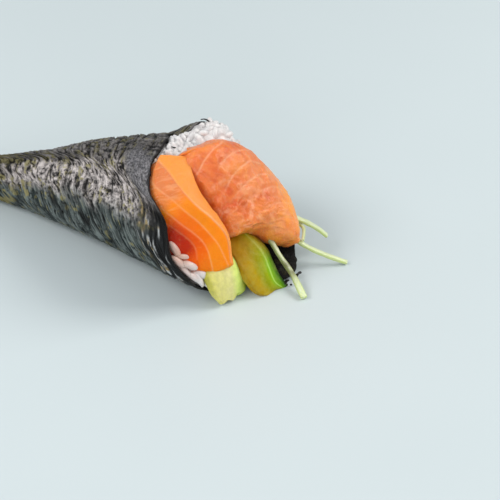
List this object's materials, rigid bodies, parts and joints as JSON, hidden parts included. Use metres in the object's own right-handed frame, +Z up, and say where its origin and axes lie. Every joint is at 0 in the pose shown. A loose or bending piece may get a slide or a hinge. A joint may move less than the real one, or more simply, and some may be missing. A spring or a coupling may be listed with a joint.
{
  "type": "salmon temaki hand roll",
  "caption": "Cone of dried seaweed lying on its side, filled with rice, with salmon slices, avocado wedges and cucumber strips in its open mouth.",
  "frame": {"origin": "centre of the bounding box, on the surface the roll lies on", "axes": "+X along the roll from its tip to its mouth, +Z up, -Y toward the side with the salmon strip"},
  "size_m": [0.1594, 0.0554, 0.0444],
  "materials": {
    "nori": "crinkled, half gloss",
    "rice": "moist, translucent",
    "salmon": "moist, with pale fat lines",
    "avocado": "buttery, with a green outer edge",
    "cucumber": "moist, translucent"
  },
  "bodies": {
    "root": {"nori_wrap": "nori", "rice": "rice", "salmon_strip": "salmon", "salmon_slice": "salmon", "avocado_wedge_near": "avocado", "avocado_wedge_far": "avocado", "cucumber_strip_1": "cucumber", "cucumber_strip_2": "cucumber", "cucumber_strip_3": "cucumber", "cucumber_strip_4": "cucumber"}
  },
  "joints": []
}
